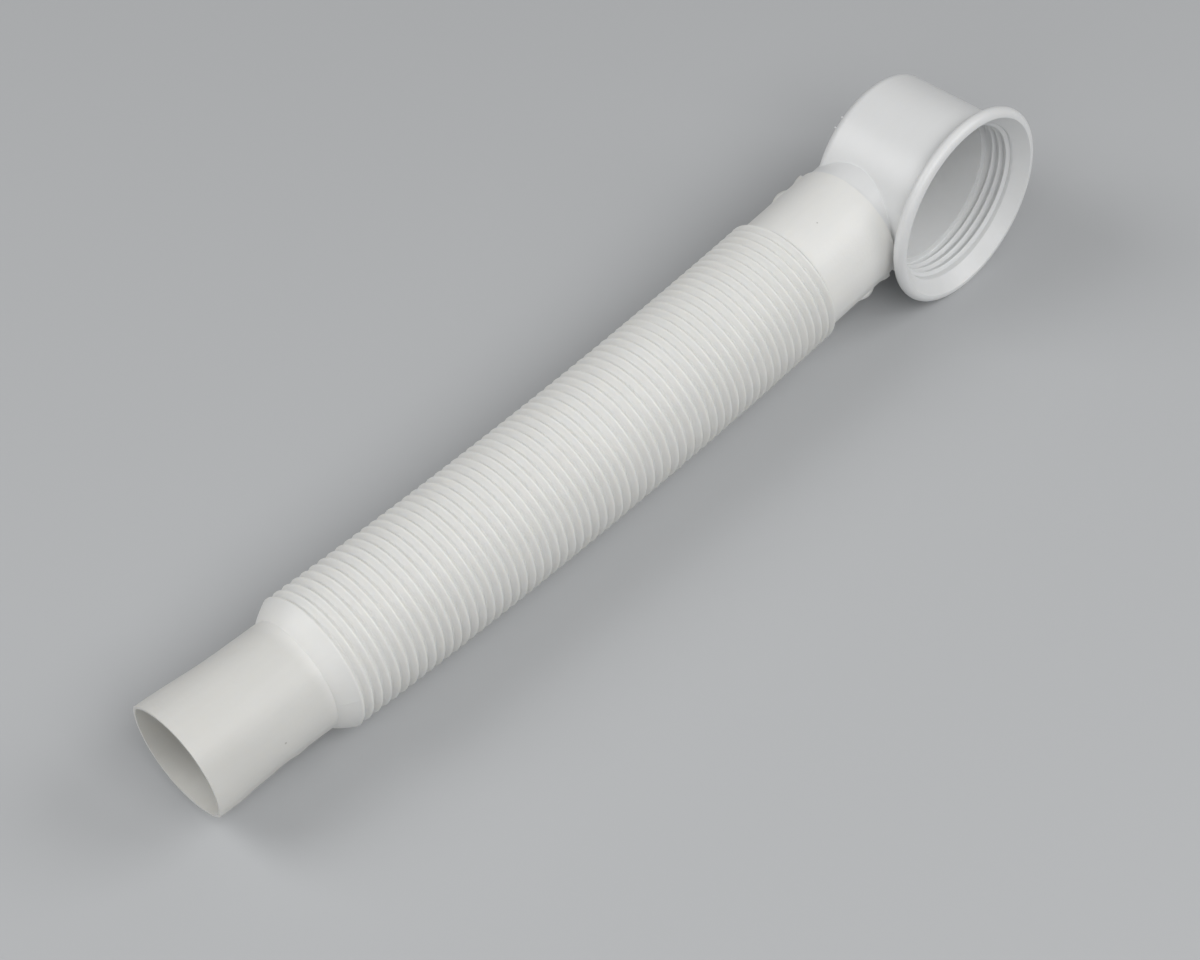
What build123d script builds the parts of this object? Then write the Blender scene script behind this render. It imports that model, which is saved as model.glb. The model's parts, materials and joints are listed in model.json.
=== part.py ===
from build123d import *
import os
from math import asin, atan2, cos, degrees, hypot, radians, sin

# Expandable waste hose with a moulded elbow socket, in millimetres, lying as it comes to rest.
# The hose runs along X to the elbow at its +X end, and the elbow's mouth faces -Y and a little up.
# The origin is at the bottom centre of the whole, on the surface that it lies on.

# Spigot: the plain free end of the hose
spigot_diameter = 40.0
spigot_length = 46.9
mouth_spread = 0.4  # the squashed mouth is this much longer than the spigot's diameter one way
mouth_squash = 2.6  # and this much shorter the other way
mouth_roll = 26.7  # degrees that the mouth's long axis drops towards -Y
mouth_skew = 2.3  # degrees that the sawn end is out of square, with its top furthest out
squashed_length = 22.0  # the stretch at the mouth that is out of round

# Folds: ring bellows of one even wall, from the cuff to the shoulder
crest_diameter = 48.9
fold_depth = 2.1
fold_groups = ((18, 3.48), (11, 3.78), (23, 3.57), (8, 3.7))  # folds and their pitch, drawn out unevenly
hose_wall = 0.9
shoulder_land = 0.8  # flat top of the wide crest beside the shoulder
shoulder_length = 6.2  # from there down a cone to a crisp corner with the spigot
bend_turn = 6.1  # degrees that the folded run bends over its length
bend_lean = 61.75  # degrees above level, towards +Y, of the side that it bends to

# Cuff: the plain end of the hose that is pushed over the elbow's stub
cuff_diameter = 45.1
cuff_length = 32.4
cuff_gap = 0.2  # from the cuff's end to the side of the cup
stub_clearance = 0.1  # all round, between the stub and the cuff's bore

# Elbow: a cup across the end of the stub
cup_diameter = 63.3
cup_front = 29.4  # from the stub's axis to the face of the mouth
cup_back = 16.1  # from the stub's axis to the back of the cup
back_round = 3.5
floor_wall = 2.5
floor_chamfer = 2.5  # inside corner of the cup's floor
flange_width = 5.3  # how far the flange stands out of the cup's side
flange_thickness = 4.7  # the rim is round all the way over
flange_land = 0.7  # flat ring between the flange's round and the flare of the mouth
flare_depth = 4.6
thread_major = 59.6
thread_height = 1.4
thread_lead = 0.8  # depth of the cone that leads into the thread
thread_length = 11.0
ledge_width = 1.2  # seat for a washer at the thread's inner end
stub_wall = 2.5
stub_length = 25.0  # length of the stub inside the cuff
stub_chamfer = 1.0
overrun = 1.0  # how far cutting shapes run past what they cut

crest_radius = crest_diameter / 2
valley_radius = crest_radius - fold_depth
spigot_radius = spigot_diameter / 2
cuff_radius = cuff_diameter / 2
stub_radius = cuff_radius - hose_wall - stub_clearance
cup_radius = cup_diameter / 2
flange_radius = cup_radius + flange_width
flange_round = flange_thickness / 2
mouth_radius = flange_radius - flange_round - flange_land
thread_core = thread_major / 2 - thread_height
chamber_radius = thread_core - ledge_width
stub_reach = cup_radius + cuff_gap  # from the cup's axis to the end of the cuff
fold_pitches = [pitch for count, pitch in fold_groups for fold in range(count)]
folded_length = sum(fold_pitches) + fold_pitches[-1] / 2
bend_radius = folded_length / radians(bend_turn)


def hose_profile():
    """Stations along the hose from the cuff's end, each with its outer radius, up to the squashed mouth."""
    points = [(0, cuff_radius), (cuff_length, cuff_radius)]
    start = cuff_length
    for pitch in fold_pitches:
        points.append((start + pitch / 2, crest_radius))
        points.append((start + pitch, valley_radius))
        start += pitch
    shoulder = cuff_length + folded_length
    root = shoulder + shoulder_land + shoulder_length
    points.append((shoulder, crest_radius))
    points.append((shoulder + shoulder_land, crest_radius))
    points.append((root, spigot_radius))
    points.append((root + spigot_length - squashed_length, spigot_radius))
    return points


def inset(profile, wall):
    """The inside of an even wall: each stretch moved in square to itself, with mitred corners."""
    normals = []
    for (station, radius), (next_station, next_radius) in zip(profile, profile[1:]):
        length = hypot(next_station - station, next_radius - radius)
        normals.append(((next_radius - radius) / length, (station - next_station) / length))
    inside = []
    for (station, radius), (ax, ay), (bx, by) in zip(profile, normals[:1] + normals, normals + normals[-1:]):
        mitre = wall / (1 + ax * bx + ay * by)
        inside.append((station + (ax + bx) * mitre, radius + (ay + by) * mitre))
    return inside


def lie_elbow():
    """Tilt of the cup's axis and height of its crossing with the stub's axis, when the cup lies on its side.

    It rests on the rounded rim of the flange and the rounded edge of the back, each a ring with a round section.
    """
    rim_place = cup_front - flange_round
    rim_ring = flange_radius - flange_round
    back_place = back_round - cup_back
    back_ring = cup_radius - back_round
    span = hypot(rim_place - back_place, rim_ring - back_ring)
    tilt = atan2(rim_ring - back_ring, rim_place - back_place) + asin((flange_round - back_round) / span)
    height = rim_ring * cos(tilt) + flange_round - rim_place * sin(tilt)
    return tilt, height


class Run:
    """The hose's centre line when it leaves the elbow at a given slope: straight, a wide bend, straight."""

    def __init__(self, slope, height):
        self.side = Vector(0, -1, 0)
        self.top = Vector(-sin(slope), 0, cos(slope))
        self.toward_elbow = Vector(cos(slope), 0, sin(slope))
        lean = radians(bend_lean)
        self.inward = self.top * sin(lean) - self.side * cos(lean)
        self.crossing = Vector(0, 0, height)
        self.bend_start = self.crossing - self.toward_elbow * (stub_reach + cuff_length)

    def place(self, station):
        """Centre of the hose at a station, and its direction there, away from the elbow."""
        along = min(max(station - cuff_length, 0), folded_length)
        turn = along / bend_radius
        direction = self.inward * sin(turn) - self.toward_elbow * cos(turn)
        centre = self.bend_start - self.toward_elbow * (bend_radius * sin(turn))
        centre = centre + self.inward * (bend_radius * (1 - cos(turn)))
        return centre + direction * (station - cuff_length - along), direction

    def section(self, station, skew=0.0):
        """Plane across the hose, with its X axis along the squashed mouth's long axis."""
        centre, direction = self.place(station)
        roll = radians(mouth_roll)
        long_axis = self.side * cos(roll) - self.top * sin(roll)
        facing = direction * cos(skew) - self.top * sin(skew)
        return Plane(centre, x_dir=long_axis, z_dir=facing)

    def lowest(self, profile):
        """Height of the lowest point of the hose."""
        heights = []
        for station, radius in profile:
            centre, direction = self.place(station)
            heights.append(centre.Z - radius * cos(asin(direction.Z)))
        return min(heights)


def lie_hose(profile, height):
    """The run whose lowest fold just touches the surface, found by halving a range of slopes."""
    shallow = 0.0
    steep = radians(30)
    for halving in range(40):
        slope = (shallow + steep) / 2
        if Run(slope, height).lowest(profile) > 0:
            shallow = slope
        else:
            steep = slope
    return Run(shallow, height)


def tube(run, profile, wall, extra):
    """Solid through every ring of a profile and the squashed mouth, run past both ends by extra."""
    ends = [(profile[0][0] - extra, profile[0][1])] if extra else []
    rings = [run.section(station) * Circle(radius) for station, radius in ends + profile]
    mouth_station = profile[-1][0] + squashed_length + extra
    long_half = spigot_radius + mouth_spread / 2 - wall
    short_half = spigot_radius - mouth_squash / 2 - wall
    mouth = run.section(mouth_station, radians(mouth_skew)) * Ellipse(long_half, short_half)
    return loft(rings + [mouth], ruled=True, clean=False)


def make_hose(run, profile):
    """Hollow hose: the folded outside less an inside that follows every fold."""
    outside = tube(run, profile, 0, 0)
    inside = tube(run, inset(profile, hose_wall), hose_wall, overrun)
    return outside - inside


def bullet(radius, reach):
    """Round bar along -X from a half ball at the origin."""
    nose = CenterArc((0, 0), radius, 0, 90)
    body = Polyline((0, radius), (-reach, radius), (-reach, 0), (radius, 0))
    return revolve(make_face(nose + body), Axis.X)


def cup_outline():
    """Half section of the cup's outside, filled, with its round back edge and round rim."""
    flange_back = cup_front - flange_thickness
    rim_ring = flange_radius - flange_round
    side = FilletPolyline(
        (0, -cup_back),
        (cup_radius, -cup_back),
        (cup_radius, flange_back),
        (rim_ring, flange_back),
        radius=[back_round, 0],
    )
    rim = CenterArc((rim_ring, cup_front - flange_round), flange_round, -90, 180)
    face = Polyline((rim_ring, cup_front), (0, cup_front), (0, -cup_back))
    return make_face(side + rim + face)


def cup_hollow():
    """Half section of the cup's inside: floor, chamber, ledge, thread at its core, lead-in and flared mouth."""
    floor = floor_wall - cup_back
    flare_end = cup_front - flare_depth
    thread_start = flare_end - thread_lead
    ledge = thread_start - thread_length
    flare_slope = (mouth_radius - thread_major / 2) / flare_depth
    return make_face(
        Polyline(
            (0, floor),
            (chamber_radius - floor_chamfer, floor),
            (chamber_radius, floor + floor_chamfer),
            (chamber_radius, ledge),
            (thread_core, ledge),
            (thread_core, thread_start),
            (thread_major / 2, flare_end),
            (mouth_radius + flare_slope * overrun, cup_front + overrun),
            (0, cup_front + overrun),
            close=True,
        )
    )


def make_elbow():
    """Cup along Z with its mouth up, and the stub along -X through its wall."""
    reach = stub_reach + stub_length
    cup = revolve(Plane.XZ * cup_outline(), Axis.Z)
    stub = bullet(stub_radius, reach)
    stub = chamfer(stub.edges().group_by(Axis.X)[0], stub_chamfer)
    outside = cup + stub
    chamber = revolve(Plane.XZ * cup_hollow(), Axis.Z)
    channel = bullet(stub_radius - stub_wall, reach + overrun)
    return outside - chamber - channel


profile = hose_profile()
tilt, height = lie_elbow()
run = lie_hose(profile, height)
hose = make_hose(run, profile)

cup_roll = asin(sin(tilt) / run.top.Z)
cup_axis = run.side * cos(cup_roll) + run.top * sin(cup_roll)
elbow = Plane(run.crossing, x_dir=run.toward_elbow, z_dir=cup_axis) * make_elbow()

box = hose.bounding_box().add(elbow.bounding_box())
to_origin = Location((-(box.min.X + box.max.X) / 2, -(box.min.Y + box.max.Y) / 2, -box.min.Z))

os.makedirs("parts", exist_ok=True)
export_step(to_origin * hose, "parts/corrugated_hose.step")
export_step(to_origin * elbow, "parts/elbow_socket.step")
print("size", box.size, "cup tilt", degrees(tilt), "hose slope", degrees(asin(run.toward_elbow.Z)))
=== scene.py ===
import json
import math

import bmesh
import bpy
from mathutils import Matrix, Vector


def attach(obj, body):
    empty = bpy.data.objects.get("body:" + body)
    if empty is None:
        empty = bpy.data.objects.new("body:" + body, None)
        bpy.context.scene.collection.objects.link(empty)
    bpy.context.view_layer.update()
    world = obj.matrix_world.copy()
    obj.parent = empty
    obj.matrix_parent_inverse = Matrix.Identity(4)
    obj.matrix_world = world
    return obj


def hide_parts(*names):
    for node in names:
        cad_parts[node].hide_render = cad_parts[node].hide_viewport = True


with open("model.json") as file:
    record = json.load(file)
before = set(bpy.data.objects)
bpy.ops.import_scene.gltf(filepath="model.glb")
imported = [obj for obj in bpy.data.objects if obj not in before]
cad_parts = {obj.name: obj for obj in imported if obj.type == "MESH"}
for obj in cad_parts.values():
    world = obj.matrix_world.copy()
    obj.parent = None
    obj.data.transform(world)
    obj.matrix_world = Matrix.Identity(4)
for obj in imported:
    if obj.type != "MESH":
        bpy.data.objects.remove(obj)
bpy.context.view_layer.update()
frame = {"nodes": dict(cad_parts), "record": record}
print("frame loaded:", sorted(frame["nodes"]))

mm = 0.001
mounts = {mount["name"]: mount for mount in frame["record"]["mounts"]}

# where the part lies: the cup's axis comes from its threaded mouth, the hose's from its slope and bend
lie = {
    "threadToAxis": 24.0,  # from the thread's outer end back to the hose's axis
    "slope": 3.6011,  # degrees that the hose climbs to the elbow
    "cuffFromAxis": 31.85,  # from the cup's axis to the cuff's end
    "bendTurn": 6.1,  # degrees over the folded length
    "bendLean": 61.75,  # degrees above level of the side that it bends to
}
cupAxis = Vector(mounts["threaded_mouth"]["axis"]).normalized()
crossing = Vector(mounts["threaded_mouth"]["pos_m"]) - cupAxis * lie["threadToAxis"] * mm
slope = math.radians(lie["slope"])
lean = math.radians(lie["bendLean"])
hoseSide = Vector((0, -1, 0))
hoseTop = Vector((-math.sin(slope), 0, math.cos(slope)))
towardElbow = Vector((math.cos(slope), 0, math.sin(slope)))
bendInward = hoseTop * math.sin(lean) - hoseSide * math.cos(lean)

# sizes in millimetres, stations counted from the cuff's end towards the free mouth
hose = {
    "steps": 128,
    "weld": 0.001,  # points nearer than this are one
    "cutTolerance": 0.0001,  # for the cuts along the short seam
    "crowding": 0.3,  # brings the steps nearer together at the two parting lines
    "wall": 0.9,
    "cuffRadius": 22.55,
    "cuffLength": 32.4,
    "cuffRings": 32,
    "crestRadius": 24.45,
    "valleyRadius": 22.35,
    "foldGroups": ((18, 3.48), (11, 3.78), (23, 3.57), (8, 3.7)),  # folds and their pitch
    "foldPlaces": (-0.82, -0.5, -0.18, 0, 0.18, 0.5, 0.82),  # valley -1, crest 0, valley 1
    "foldSharp": (0.95, 0.84),  # 1 is a plain vee, at the cuff and at the shoulder
    "shoulderLand": 0.8,
    "shoulderLength": 6.2,
    "shoulderRings": 12,
    "crestFlat": 0.1,  # level top before the shoulder falls
    "shoulderRound": 2.2,  # the curve that rounds the cone at its crest
    "shoulderRounding": 0.25,  # and its share
    "spigotRadius": 20.0,
    "spigotLength": 46.9,
    "spigotRings": 26,
    "boreRings": 8,
    "squashedLength": 30.0,
    "mouthLong": 21.2,  # half axes of the squashed mouth
    "mouthShort": 18.9,
    "mouthPoint": 0.3,  # how far its ends come to a point
    "mouthRoll": 26.7,  # degrees that its long axis drops
    "mouthSkew": 2.3,  # degrees that its sawn end is out of square
}
hose["pitches"] = [pitch for count, pitch in hose["foldGroups"] for fold in range(count)]
hose["foldedLength"] = sum(hose["pitches"]) + hose["pitches"][-1] / 2
hose["root"] = hose["cuffLength"] + hose["foldedLength"] + hose["shoulderLand"] + hose["shoulderLength"]
hose["mouth"] = hose["root"] + hose["spigotLength"]

# moulding marks: lumps of flash are (middle, half length, height) along the two parting lines
parting = {
    "height": 0.1,
    "width": 0.35,
    "cuffFlash": ((11.8, 3.8, 1.1), (0.8, 3.6, 0.8)),
    "spigotFlash": ((271.5, 2.6, 0.35), (284, 4, 0.12), (295, 4, 0.16)),  # on the lower line alone
    "seamAngle": 39,  # degrees from the lower line, a short ridge on the shoulder
    "seamHalf": 0.8,  # degrees
    "seam": (253.3, 3.2, 0.28),
}


def makePiece(name, bm, material):
    mesh = bpy.data.meshes.new(name)
    bm.to_mesh(mesh)
    bm.free()
    piece = bpy.data.objects.new(name, mesh)
    bpy.context.scene.collection.objects.link(piece)
    mesh.materials.append(material)
    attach(piece, "root")
    return piece


def smoothByAngle(bm, degrees):
    for face in bm.faces:
        face.smooth = True
    limit = math.radians(degrees)
    for edge in bm.edges:
        edge.smooth = len(edge.link_faces) == 2 and edge.calc_face_angle(0) < limit


# a point on the hose's bent centre line and the direction there, away from the elbow
def alongRun(station):
    bendRadius = hose["foldedLength"] / math.radians(lie["bendTurn"])
    past = station - hose["cuffLength"]
    bent = min(max(past, 0), hose["foldedLength"])
    turn = bent / bendRadius
    direction = bendInward * math.sin(turn) - towardElbow * math.cos(turn)
    centre = -towardElbow * (lie["cuffFromAxis"] + hose["cuffLength"] + bendRadius * math.sin(turn))
    centre += bendInward * bendRadius * (1 - math.cos(turn)) + direction * (past - bent)
    return crossing + centre * mm, direction


def smoothStep(share):
    share = min(max(share, 0), 1)
    return share * share * (3 - 2 * share)


def blendPair(pair, share):
    return pair[0] * (1 - share) + pair[1] * share


# outer radius in a fold whose crest and valley are a little rounded
def foldRadius(place, sharp):
    rise = math.asin(sharp * math.cos(math.pi * place)) / math.asin(sharp)
    return blendPair((hose["valleyRadius"], hose["crestRadius"]), (1 + rise) / 2)


# half section of the hose's outside: cuff, folds, shoulder, spigot
def outsideOutline():
    rings = hose["cuffRings"]
    points = [(hose["cuffLength"] * ring / rings, hose["cuffRadius"]) for ring in range(rings + 1)]
    start = hose["cuffLength"]
    for fold, pitch in enumerate(hose["pitches"]):
        sharp = blendPair(hose["foldSharp"], fold / (len(hose["pitches"]) - 1))
        for place in hose["foldPlaces"]:
            points.append((start + pitch * (1 + place) / 2, foldRadius(place, sharp)))
        start += pitch
        points.append((start, hose["valleyRadius"]))
    shoulder = hose["cuffLength"] + hose["foldedLength"]
    for place in hose["foldPlaces"]:
        if place < 0:
            points.append((shoulder + (shoulder - start) * place, foldRadius(place, hose["foldSharp"][1])))
    points.append((shoulder + hose["crestFlat"], hose["crestRadius"]))
    reach = hose["shoulderLand"] + hose["shoulderLength"]
    for ring in range(1, hose["shoulderRings"] + 1):
        share = ring / hose["shoulderRings"]
        drop = blendPair((share, share ** hose["shoulderRound"]), hose["shoulderRounding"])
        radius = blendPair((hose["crestRadius"], hose["spigotRadius"]), drop)
        points.append((shoulder + share * reach, radius))
    rings = hose["spigotRings"]
    for ring in range(1, rings + 1):
        points.append((hose["root"] + hose["spigotLength"] * ring / rings, hose["spigotRadius"]))
    return points


# the same wall from inside, with plain folds, back from the mouth to the cuff
def insideOutline():
    shoulder = hose["root"] - hose["shoulderLength"]
    points = []
    for ring in range(hose["boreRings"], -1, -1):
        station = hose["root"] + hose["spigotLength"] * ring / hose["boreRings"]
        points.append((station, hose["spigotRadius"] - hose["wall"]))
    points.append((shoulder, hose["crestRadius"] - hose["wall"]))
    points.append((shoulder - hose["shoulderLand"], hose["crestRadius"] - hose["wall"]))
    start = hose["cuffLength"] + sum(hose["pitches"])
    for pitch in reversed(hose["pitches"]):
        points.append((start, hose["valleyRadius"] - hose["wall"]))
        points.append((start - pitch / 2, hose["crestRadius"] - hose["wall"]))
        start -= pitch
    points.append((hose["cuffLength"], hose["cuffRadius"] - hose["wall"]))
    points.append((0, hose["cuffRadius"] - hose["wall"]))
    return points


# keeps the edges crisp at the ends, the cuff's foot and the shoulder's root
def shadeHose(bm):
    crisp = {round(station, 2) for station in (0, hose["cuffLength"], hose["root"], hose["mouth"])}
    for face in bm.faces:
        face.smooth = True
    for edge in bm.edges:
        ends = {round(vert.co.x, 2) for vert in edge.verts}
        edge.smooth = not (len(ends) == 1 and ends <= crisp)


def lumpHeight(lumps, station):
    height = 0
    for middle, half, most in lumps:
        height += most * max(0, 1 - ((station - middle) / half) ** 2)
    return height


# how far the moulding marks stand out of the hose's outside
def markHeight(station, angle, radius):
    onLine = math.exp(-((math.sin(angle) * radius / parting["width"]) ** 2))
    height = parting["height"] + lumpHeight(parting["cuffFlash"], station)
    if math.cos(angle) > 0:
        height += lumpHeight(parting["spigotFlash"], station)
    fromSeam = abs(math.degrees(angle) - parting["seamAngle"]) / parting["seamHalf"]
    return height * onLine + lumpHeight((parting["seam"],), station) * max(0, 1 - fromSeam)


# moves the steps round the hose towards the parting lines, then cuts it along the short seam
def placeSteps(bm):
    for vert in bm.verts:
        radius = math.hypot(vert.co.y, vert.co.z)
        angle = math.atan2(vert.co.z, vert.co.y)
        angle -= hose["crowding"] * math.sin(2 * angle)
        vert.co.y = radius * math.cos(angle)
        vert.co.z = radius * math.sin(angle)
    for side in (-1, 0, 1):
        angle = math.radians(parting["seamAngle"] + side * parting["seamHalf"])
        bmesh.ops.bisect_plane(
            bm, geom=bm.verts[:] + bm.edges[:] + bm.faces[:], dist=hose["cutTolerance"],
            plane_co=(0, 0, 0), plane_no=(0, -math.sin(angle), math.cos(angle)),
        )


# bends a straight hose along its run, squashes its mouth and raises its moulding marks
def bendHose(bm):
    roll = math.radians(hose["mouthRoll"])
    longAxis = hoseSide * math.cos(roll) - hoseTop * math.sin(roll)
    skew = math.tan(math.radians(hose["mouthSkew"]))
    longer = hose["mouthLong"] / hose["spigotRadius"] - 1
    shorter = hose["mouthShort"] / hose["spigotRadius"] - 1
    for vert in bm.verts:
        station = vert.co.x
        radius = math.hypot(vert.co.y, vert.co.z)
        angle = math.atan2(vert.co.z, vert.co.y)
        onCuff = station < hose["cuffLength"]
        if radius > (hose["cuffRadius"] if onCuff else hose["spigotRadius"]) - hose["wall"] / 2:
            radius += markHeight(station, angle, radius)
        squash = smoothStep((station - hose["mouth"]) / hose["squashedLength"] + 1)
        along = math.cos(angle) * radius * (1 + squash * longer)
        across = math.sin(angle) * abs(math.sin(angle)) ** (hose["mouthPoint"] * squash)
        across *= radius * (1 + squash * shorter)
        centre, direction = alongRun(station)
        flat = (longAxis - direction * longAxis.dot(direction)).normalized()
        offset = flat * along + direction.cross(flat) * across
        offset += direction * offset.dot(hoseTop) * skew * squash
        vert.co = centre + offset * mm


def makeHose(material):
    bm = bmesh.new()
    section = outsideOutline() + insideOutline()
    wire = [bm.verts.new((station, 0, radius)) for station, radius in section]
    for vert, following in zip(wire, wire[1:] + wire[:1]):
        bm.edges.new((vert, following))
    bmesh.ops.spin(
        bm, geom=bm.verts[:] + bm.edges[:], cent=(0, 0, 0), axis=(1, 0, 0), dvec=(0, 0, 0),
        angle=2 * math.pi, steps=hose["steps"], use_merge=True,
    )
    bmesh.ops.remove_doubles(bm, verts=bm.verts, dist=hose["weld"])
    bmesh.ops.recalc_face_normals(bm, faces=bm.faces)
    placeSteps(bm)
    shadeHose(bm)
    bendHose(bm)
    print("hose:", len(bm.faces), "faces")
    piece = makePiece("hose_wall", bm, material)
    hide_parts("corrugated_hose")


# sizes in millimetres, heights counted along the cup's axis from the hose's axis
elbow = {
    "cupRadius": 31.65,
    "weld": 0.003,
    "flangeBack": 24.7,
    "flangeNear": 0.1,  # an edge this near to the flange's back belongs to it
    "flangeFillet": 1.1,
    "flangeSegments": 4,
    "neckRadius": 21.55,
    "neckNear": 0.15,  # the same for the neck
    "neckFillet": 0.7,
    "neckSegments": 3,
    "edgeSoft": 0.2,
    "edgeSegments": 2,
    "sharpAngle": 28,  # degrees from which an edge is rounded
    "smoothAngle": 40,  # degrees up to which shading runs on
    "threadCore": 28.4,
    "threadNear": 0.05,  # a point this near to the core belongs to the bore
    "threadMajor": 29.6,
    "threadPitch": 3.0,
    "threadTurns": 3.3,
    "threadFrom": 13.7,  # height of the thread's inner end
    "threadSteps": 96,  # in a turn
    "threadFade": 0.12,  # turns over which each end dies out
    "threadSection": ((0, 1.1), (0.4, 0.82), (0.8, 0.5), (1, 0.2)),  # share of its height, half width
    "threadSunk": 0.15,  # how far the ridge's foot lies inside the wall
    "cupBack": 16.1,
    "backRound": 3.5,
    "nibTurns": (114, 122),  # degrees round the cup
    "nibLean": 60,  # degrees round its back edge
    "nibDetail": 2,
    "nibSize": 0.45,
    "nibStretch": (0.8, 0.8, 1.5),
}
acrossCup = (towardElbow - cupAxis * towardElbow.dot(cupAxis)).normalized()
sideOfCup = cupAxis.cross(acrossCup)


# height along the cup's axis and distance from it, in millimetres
def inCup(point):
    offset = (point - crossing) / mm
    height = offset.dot(cupAxis)
    return height, (offset - cupAxis * height).length


def fromNeckAxis(point):
    offset = (point - crossing) / mm
    return (offset - towardElbow * offset.dot(towardElbow)).length


def middleOf(edge):
    return (edge.verts[0].co + edge.verts[1].co) / 2


def atNeck(edge):
    onCup = abs(inCup(middleOf(edge))[1] - elbow["cupRadius"]) < elbow["neckNear"]
    return onCup and abs(fromNeckAxis(middleOf(edge)) - elbow["neckRadius"]) < elbow["neckNear"]


def atFlangeBack(edge):
    height, radius = inCup(middleOf(edge))
    onBack = abs(height - elbow["flangeBack"]) < elbow["flangeNear"]
    return onBack and abs(radius - elbow["cupRadius"]) < elbow["flangeNear"]


def anyEdge(edge):
    return True


# rounds the sharp edges that pass a test
def softenEdges(bm, test, width, segments):
    limit = math.radians(elbow["sharpAngle"])
    sharp = [edge for edge in bm.edges if len(edge.link_faces) == 2 and edge.calc_face_angle(0) > limit]
    chosen = [edge for edge in sharp if test(edge)]
    print("elbow: rounding", len(chosen), "edges")
    bmesh.ops.bevel(
        bm, geom=chosen, offset=width * mm, offset_type="OFFSET", affect="EDGES",
        segments=segments, profile=0.5, material=-1, clamp_overlap=True,
    )


# the solid's bore stops at the thread's tips, so its wall moves out to the thread's roots
def widenThread(bm):
    for vert in bm.verts:
        height, radius = inCup(vert.co)
        if abs(radius - elbow["threadCore"]) < elbow["threadNear"] and height > elbow["threadFrom"] / 2:
            axisPoint = crossing + cupAxis * height * mm
            vert.co = axisPoint + (vert.co - axisPoint) * elbow["threadMajor"] / radius


# a right-hand ridge, closed and dying out at both ends, its foot sunk into the wall
def addThread(bm):
    known = set(bm.verts)
    wall = elbow["threadMajor"] + elbow["threadSunk"]
    section = []
    for share, half in elbow["threadSection"]:
        section.append((blendPair((wall, elbow["threadCore"]), share), -half))
    section += [(radius, -height) for radius, height in reversed(section)]
    loop = []
    for radius, height in section:
        offset = acrossCup * radius + cupAxis * (elbow["threadFrom"] + height)
        loop.append(bm.verts.new(crossing + offset * mm))
    ring = [bm.edges.new((vert, following)) for vert, following in zip(loop, loop[1:] + loop[:1])]
    bmesh.ops.spin(
        bm, geom=loop + ring, cent=crossing, axis=cupAxis,
        dvec=cupAxis * elbow["threadPitch"] / elbow["threadSteps"] * mm,
        angle=elbow["threadTurns"] * 2 * math.pi, steps=round(elbow["threadTurns"] * elbow["threadSteps"]),
    )
    ridge = [vert for vert in bm.verts if vert not in known]
    openEnds = [edge for edge in bm.edges if edge.is_boundary]
    bmesh.ops.holes_fill(bm, edges=openEnds, sides=len(section))
    for vert in ridge:
        height, radius = inCup(vert.co)
        axisPoint = crossing + cupAxis * height * mm
        spoke = vert.co - axisPoint
        share = math.atan2(spoke.dot(sideOfCup), spoke.dot(acrossCup)) / (2 * math.pi)
        turn = share + round((height - elbow["threadFrom"]) / elbow["threadPitch"] - share)
        fade = smoothStep(min(turn, elbow["threadTurns"] - turn) / elbow["threadFade"])
        vert.co = axisPoint + spoke * (wall - (wall - radius) * fade) / radius
    bmesh.ops.recalc_face_normals(bm, faces=list({face for vert in ridge for face in vert.link_faces}))


# nibs of flash left on the round edge of the cup's back, their feet sunk into it
def addNibs(bm):
    lean = math.radians(elbow["nibLean"])
    for degrees in elbow["nibTurns"]:
        turn = math.radians(degrees)
        spoke = acrossCup * math.cos(turn) + sideOfCup * math.sin(turn)
        outward = spoke * math.cos(lean) - cupAxis * math.sin(lean)
        place = spoke * (elbow["cupRadius"] - elbow["backRound"])
        place += cupAxis * (elbow["backRound"] - elbow["cupBack"]) + outward * elbow["backRound"]
        stand = outward.to_track_quat("Z", "Y").to_matrix().to_4x4()
        stand.translation = crossing + place * mm
        bmesh.ops.create_icosphere(
            bm, subdivisions=elbow["nibDetail"], radius=elbow["nibSize"] * mm,
            matrix=stand @ Matrix.Diagonal((*elbow["nibStretch"], 1)),
        )


# the elbow's moulded shape with soft edges, a fillet at its neck, its thread and flash
def makeElbow(material):
    bm = bmesh.new()
    bm.from_mesh(frame["nodes"]["elbow_socket"].data)
    bmesh.ops.remove_doubles(bm, verts=bm.verts, dist=elbow["weld"] * mm)
    widenThread(bm)
    softenEdges(bm, atNeck, elbow["neckFillet"], elbow["neckSegments"])
    softenEdges(bm, atFlangeBack, elbow["flangeFillet"], elbow["flangeSegments"])
    softenEdges(bm, anyEdge, elbow["edgeSoft"], elbow["edgeSegments"])
    addThread(bm)
    addNibs(bm)
    smoothByAngle(bm, elbow["smoothAngle"])
    print("elbow:", len(bm.faces), "faces")
    piece = makePiece("elbow_shell", bm, material)
    weights = piece.modifiers.new("weightedNormals", "WEIGHTED_NORMAL")  # keeps broad faces even
    weights.keep_sharp = True
    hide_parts("elbow_socket")


# lengths in metres
moulded = {
    "cloudScale": 38,
    "cloudDetail": 3,
    "streakStretch": (0.06, 1, 1),  # long streaks along X
    "streakScale": 420,
    "streakDetail": 2,
    "streakShare": 0.35,
    "fineDetail": 2,
    "bumpDistance": 0.0002,
    "refraction": 1.49,
    "scatter": (1, 0.9, 0.75),
    "scatterScale": 0.0015,
}


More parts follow.
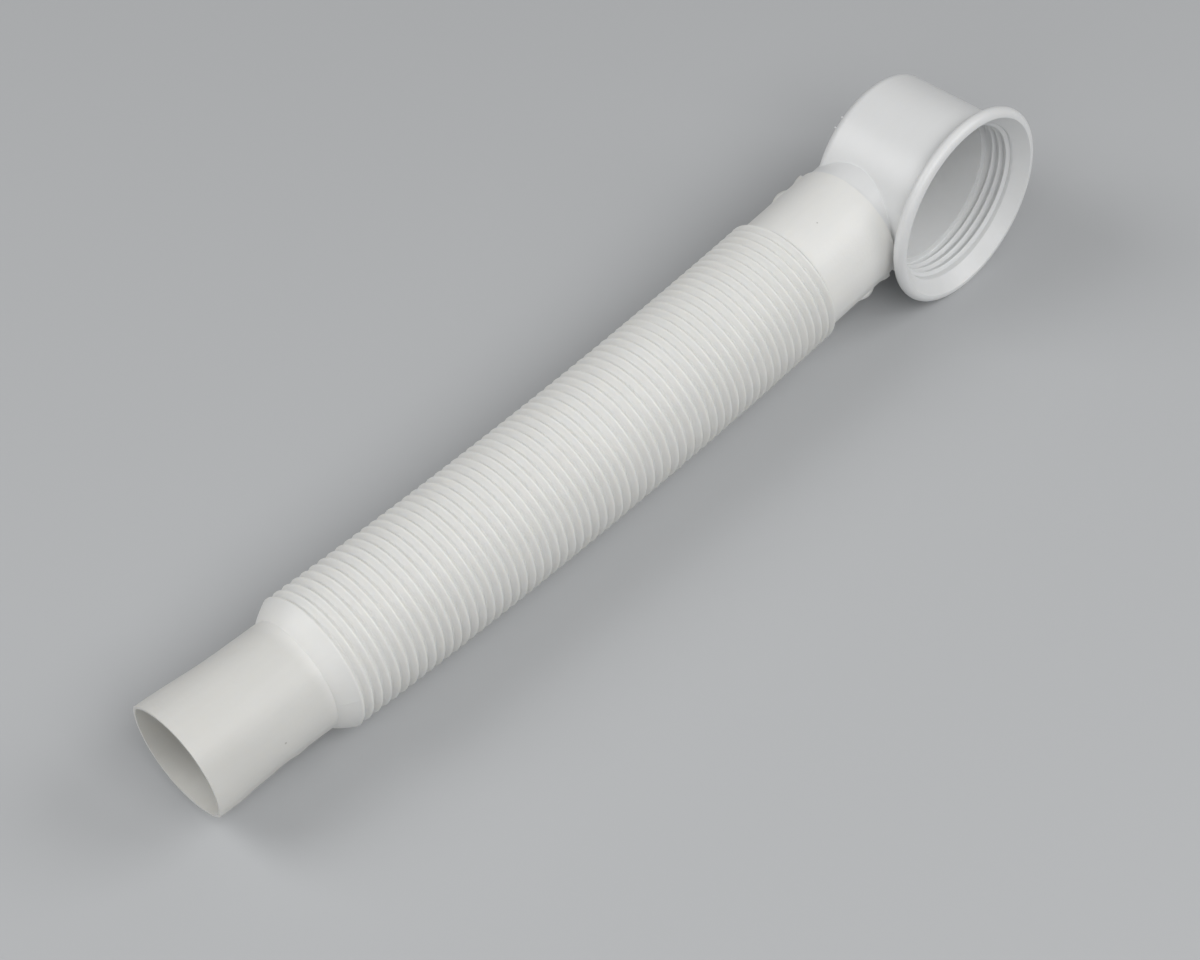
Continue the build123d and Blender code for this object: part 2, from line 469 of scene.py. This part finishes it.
# shared finish of the mouldings: cloudy tone, faint streaks along X and a fine grain
def mouldedGrain():
    group = bpy.data.node_groups.new("mouldedGrain", "ShaderNodeTree")
    group.interface.new_socket("Scale", in_out="INPUT", socket_type="NodeSocketFloat")
    group.interface.new_socket("Tone", in_out="OUTPUT", socket_type="NodeSocketFloat")
    group.interface.new_socket("Grain", in_out="OUTPUT", socket_type="NodeSocketFloat")
    nodes, links = group.nodes, group.links
    groupIn = nodes.new("NodeGroupInput")
    groupOut = nodes.new("NodeGroupOutput")
    coords = nodes.new("ShaderNodeTexCoord")
    cloud = nodes.new("ShaderNodeTexNoise")
    cloud.inputs["Scale"].default_value = moulded["cloudScale"]
    cloud.inputs["Detail"].default_value = moulded["cloudDetail"]
    stretch = nodes.new("ShaderNodeMapping")
    stretch.inputs["Scale"].default_value = moulded["streakStretch"]
    streak = nodes.new("ShaderNodeTexNoise")
    streak.inputs["Scale"].default_value = moulded["streakScale"]
    streak.inputs["Detail"].default_value = moulded["streakDetail"]
    tone = nodes.new("ShaderNodeMix")
    tone.inputs["Factor"].default_value = moulded["streakShare"]
    fine = nodes.new("ShaderNodeTexNoise")
    fine.inputs["Detail"].default_value = moulded["fineDetail"]
    links.new(coords.outputs["Object"], cloud.inputs["Vector"])
    links.new(coords.outputs["Object"], stretch.inputs["Vector"])
    links.new(stretch.outputs["Vector"], streak.inputs["Vector"])
    links.new(coords.outputs["Object"], fine.inputs["Vector"])
    links.new(groupIn.outputs["Scale"], fine.inputs["Scale"])
    links.new(cloud.outputs["Fac"], tone.inputs["A"])
    links.new(streak.outputs["Fac"], tone.inputs["B"])
    links.new(tone.outputs["Result"], groupOut.inputs["Tone"])
    links.new(fine.outputs["Fac"], groupOut.inputs["Grain"])
    return group


# adds a small dark speck at each place, and returns the colour with them
def addSpecks(tree, colour, look):
    coords = tree.nodes.new("ShaderNodeTexCoord")
    for place, size in look["specks"]:
        away = tree.nodes.new("ShaderNodeVectorMath")
        away.operation = "DISTANCE"
        away.inputs[1].default_value = place
        mask = tree.nodes.new("ShaderNodeMapRange")
        mask.inputs["From Min"].default_value = size / 2
        mask.inputs["From Max"].default_value = size
        mask.inputs["To Min"].default_value = look["speckStrength"]
        mask.inputs["To Max"].default_value = 0
        stain = tree.nodes.new("ShaderNodeMix")
        stain.data_type = "RGBA"
        stain.inputs["B"].default_value = (*look["speck"], 1)
        tree.links.new(coords.outputs["Object"], away.inputs[0])
        tree.links.new(away.outputs["Value"], mask.inputs["Value"])
        tree.links.new(mask.outputs["Result"], stain.inputs["Factor"])
        tree.links.new(colour, stain.inputs["A"])
        colour = stain.outputs["Result"]
    return colour


# painted shade: the plain end is painted greyer than the rest, standing in for the shade that falls on it
def addPaintedSpigotShade(tree, colour, look):
    coords = tree.nodes.new("ShaderNodeTexCoord")
    parts = tree.nodes.new("ShaderNodeSeparateXYZ")
    reach = tree.nodes.new("ShaderNodeMapRange")
    reach.interpolation_type = "SMOOTHSTEP"
    reach.inputs["From Min"].default_value = look["paintedShadeFrom"]
    reach.inputs["From Max"].default_value = look["paintedShadeTo"]
    reach.inputs["To Min"].default_value = 1
    reach.inputs["To Max"].default_value = 0
    grey = tree.nodes.new("ShaderNodeMix")
    grey.data_type = "RGBA"
    grey.blend_type = "MULTIPLY"
    grey.inputs["B"].default_value = (*look["paintedShade"], 1)
    tree.links.new(coords.outputs["Object"], parts.inputs["Vector"])
    tree.links.new(parts.outputs["X"], reach.inputs["Value"])
    tree.links.new(reach.outputs["Result"], grey.inputs["Factor"])
    tree.links.new(colour, grey.inputs["A"])
    return grey.outputs["Result"]


# white plastic with the shared finish and a look's own tints
def makePlastic(name, grain, look):
    material = bpy.data.materials.new(name)
    material.use_nodes = True
    tree = material.node_tree
    shader = tree.nodes["Principled BSDF"]
    effect = tree.nodes.new("ShaderNodeGroup")
    effect.node_tree = grain
    effect.inputs["Scale"].default_value = look["grainScale"]
    tint = tree.nodes.new("ShaderNodeMix")
    tint.data_type = "RGBA"
    tint.inputs["A"].default_value = (*look["dull"], 1)
    tint.inputs["B"].default_value = (*look["white"], 1)
    rough = tree.nodes.new("ShaderNodeMapRange")
    rough.inputs["To Min"].default_value = look["roughness"][0]
    rough.inputs["To Max"].default_value = look["roughness"][1]
    bump = tree.nodes.new("ShaderNodeBump")
    bump.inputs["Strength"].default_value = look["bump"]
    bump.inputs["Distance"].default_value = moulded["bumpDistance"]
    tree.links.new(effect.outputs["Tone"], tint.inputs["Factor"])
    tree.links.new(effect.outputs["Grain"], rough.inputs["Value"])
    tree.links.new(effect.outputs["Grain"], bump.inputs["Height"])
    colour = tint.outputs["Result"]
    # painted shade: greys the plain end of the hose
    if "paintedShade" in look:
        colour = addPaintedSpigotShade(tree, colour, look)
    if "specks" in look:
        colour = addSpecks(tree, colour, look)
    tree.links.new(colour, shader.inputs["Base Color"])
    tree.links.new(rough.outputs["Result"], shader.inputs["Roughness"])
    tree.links.new(bump.outputs["Normal"], shader.inputs["Normal"])
    shader.inputs["IOR"].default_value = moulded["refraction"]
    shader.inputs["Subsurface Weight"].default_value = look["subsurface"]
    shader.inputs["Subsurface Radius"].default_value = moulded["scatter"]
    shader.inputs["Subsurface Scale"].default_value = moulded["scatterScale"]
    return material


hoseLook = {
    "white": (0.83, 0.826, 0.8),
    "dull": (0.76, 0.755, 0.73),
    "roughness": (0.38, 0.5),
    "grainScale": 900,
    "bump": 0.15,
    "subsurface": 0.35,
    # painted shade on the plain end, multiplied into the hose's colour
    "paintedShade": (0.85, 0.85, 0.845),
    "paintedShadeFrom": -0.1435,  # along X, in metres
    "paintedShadeTo": -0.137,
    "specks": (  # place and size, in metres
        ((0.09675, -0.00151, 0.05206), 0.00036),
        ((-0.15963, -0.01077, 0.0307), 0.0005),
    ),
    "speck": (0.3, 0.28, 0.25),
    "speckStrength": 0.55,
}
elbowLook = {
    "white": (0.775, 0.782, 0.782),
    "dull": (0.72, 0.727, 0.727),
    "roughness": (0.3, 0.4),
    "grainScale": 600,
    "bump": 0.08,
    "subsurface": 0.12,
}
grain = mouldedGrain()
makeHose(makePlastic("warmMouldedWhite", grain, hoseLook))
makeElbow(makePlastic("coolMouldedWhite", grain, elbowLook))
print("materials made")

# studio: pale floor, soft lamps, camera at the photograph's angle
studio = {
    "floor": (0.47, 0.48, 0.49),
    "floorSize": 4,
    "floorRoughness": 0.6,
    "world": 0.16,
    "lens": 85.2,
    "sensor": 36,
    "target": (-0.00435, 0.00391, 0.0),
    "azimuth": 42.45,  # degrees, as the two below
    "elevation": 53.03,
    "roll": 0.79,
    "distance": 0.9592,
    "lamps": (  # name, place, size and power
        ("keyLamp", (-0.25, -0.88, 1.25), 0.9, 8.8),
        ("rightLamp", (0.85, -0.75, 1.0), 0.9, 7),
        ("leftLamp", (-0.75, 0.85, 1.1), 0.9, 9.4),
        ("frontLamp", (-1.0, -0.45, 0.8), 0.9, 2.4),
    ),
}


def makeStudio():
    bm = bmesh.new()
    bmesh.ops.create_grid(bm, x_segments=1, y_segments=1, size=studio["floorSize"])
    mesh = bpy.data.meshes.new("floor")
    bm.to_mesh(mesh)
    bm.free()
    floor = bpy.data.objects.new("floor", mesh)
    bpy.context.scene.collection.objects.link(floor)
    material = bpy.data.materials.new("paleFloor")
    material.use_nodes = True
    shader = material.node_tree.nodes["Principled BSDF"]
    shader.inputs["Base Color"].default_value = (*studio["floor"], 1)
    shader.inputs["Roughness"].default_value = studio["floorRoughness"]
    mesh.materials.append(material)
    for name, place, size, power in studio["lamps"]:
        lamp = bpy.data.lights.new(name, "AREA")
        lamp.size = size
        lamp.energy = power
        lampObject = bpy.data.objects.new(name, lamp)
        lampObject.location = place
        lampObject.rotation_mode = "QUATERNION"
        lampObject.rotation_quaternion = (-Vector(place)).to_track_quat("-Z", "Y")
        bpy.context.scene.collection.objects.link(lampObject)
    world = bpy.data.worlds.new("studioWorld")
    world.use_nodes = True
    background = world.node_tree.nodes["Background"]
    background.inputs["Color"].default_value = (1, 1, 1, 1)
    background.inputs["Strength"].default_value = studio["world"]
    bpy.context.scene.world = world


def makeCamera():
    azimuth = math.radians(studio["azimuth"])
    elevation = math.radians(studio["elevation"])
    roll = math.radians(studio["roll"])
    look = Vector((
        math.cos(elevation) * math.cos(azimuth),
        math.cos(elevation) * math.sin(azimuth),
        -math.sin(elevation),
    ))
    levelRight = Vector((math.sin(azimuth), -math.cos(azimuth), 0))
    levelUp = levelRight.cross(look)
    right = levelRight * math.cos(roll) + levelUp * math.sin(roll)
    up = levelUp * math.cos(roll) - levelRight * math.sin(roll)
    camera = bpy.data.cameras.new("camera")
    camera.lens = studio["lens"]
    camera.sensor_width = studio["sensor"]
    cameraObject = bpy.data.objects.new("camera", camera)
    turn = Matrix((right, up, -look)).transposed()
    place = Vector(studio["target"]) - look * studio["distance"]
    cameraObject.matrix_world = Matrix.Translation(place) @ turn.to_4x4()
    bpy.context.scene.collection.objects.link(cameraObject)
    bpy.context.scene.camera = cameraObject


makeStudio()
makeCamera()
bpy.context.scene.view_settings.view_transform = "Standard"
print("studio ready")
